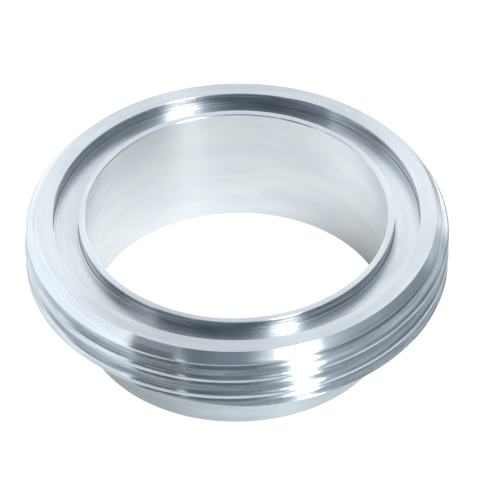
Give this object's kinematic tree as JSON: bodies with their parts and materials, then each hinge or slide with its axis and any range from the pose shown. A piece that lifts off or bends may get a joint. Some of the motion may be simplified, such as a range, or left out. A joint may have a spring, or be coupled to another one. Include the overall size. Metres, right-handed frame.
{
  "type": "sanitary male weld end",
  "caption": "One-piece sanitary union male part: a short weld spigot with a wide round-threaded collar and a recessed gasket seat in its face.",
  "frame": {"origin": "centre of the weld face, at the foot of the spigot", "axes": "+Z along the bore axis, from the weld face towards the gasket face; +X to the right as pictured"},
  "size_m": [0.085, 0.085, 0.0272],
  "materials": {
    "stainless": "fine turned finish, bright and slightly satin"
  },
  "bodies": {
    "root": {"male_weld_end": "stainless"}
  },
  "joints": []
}
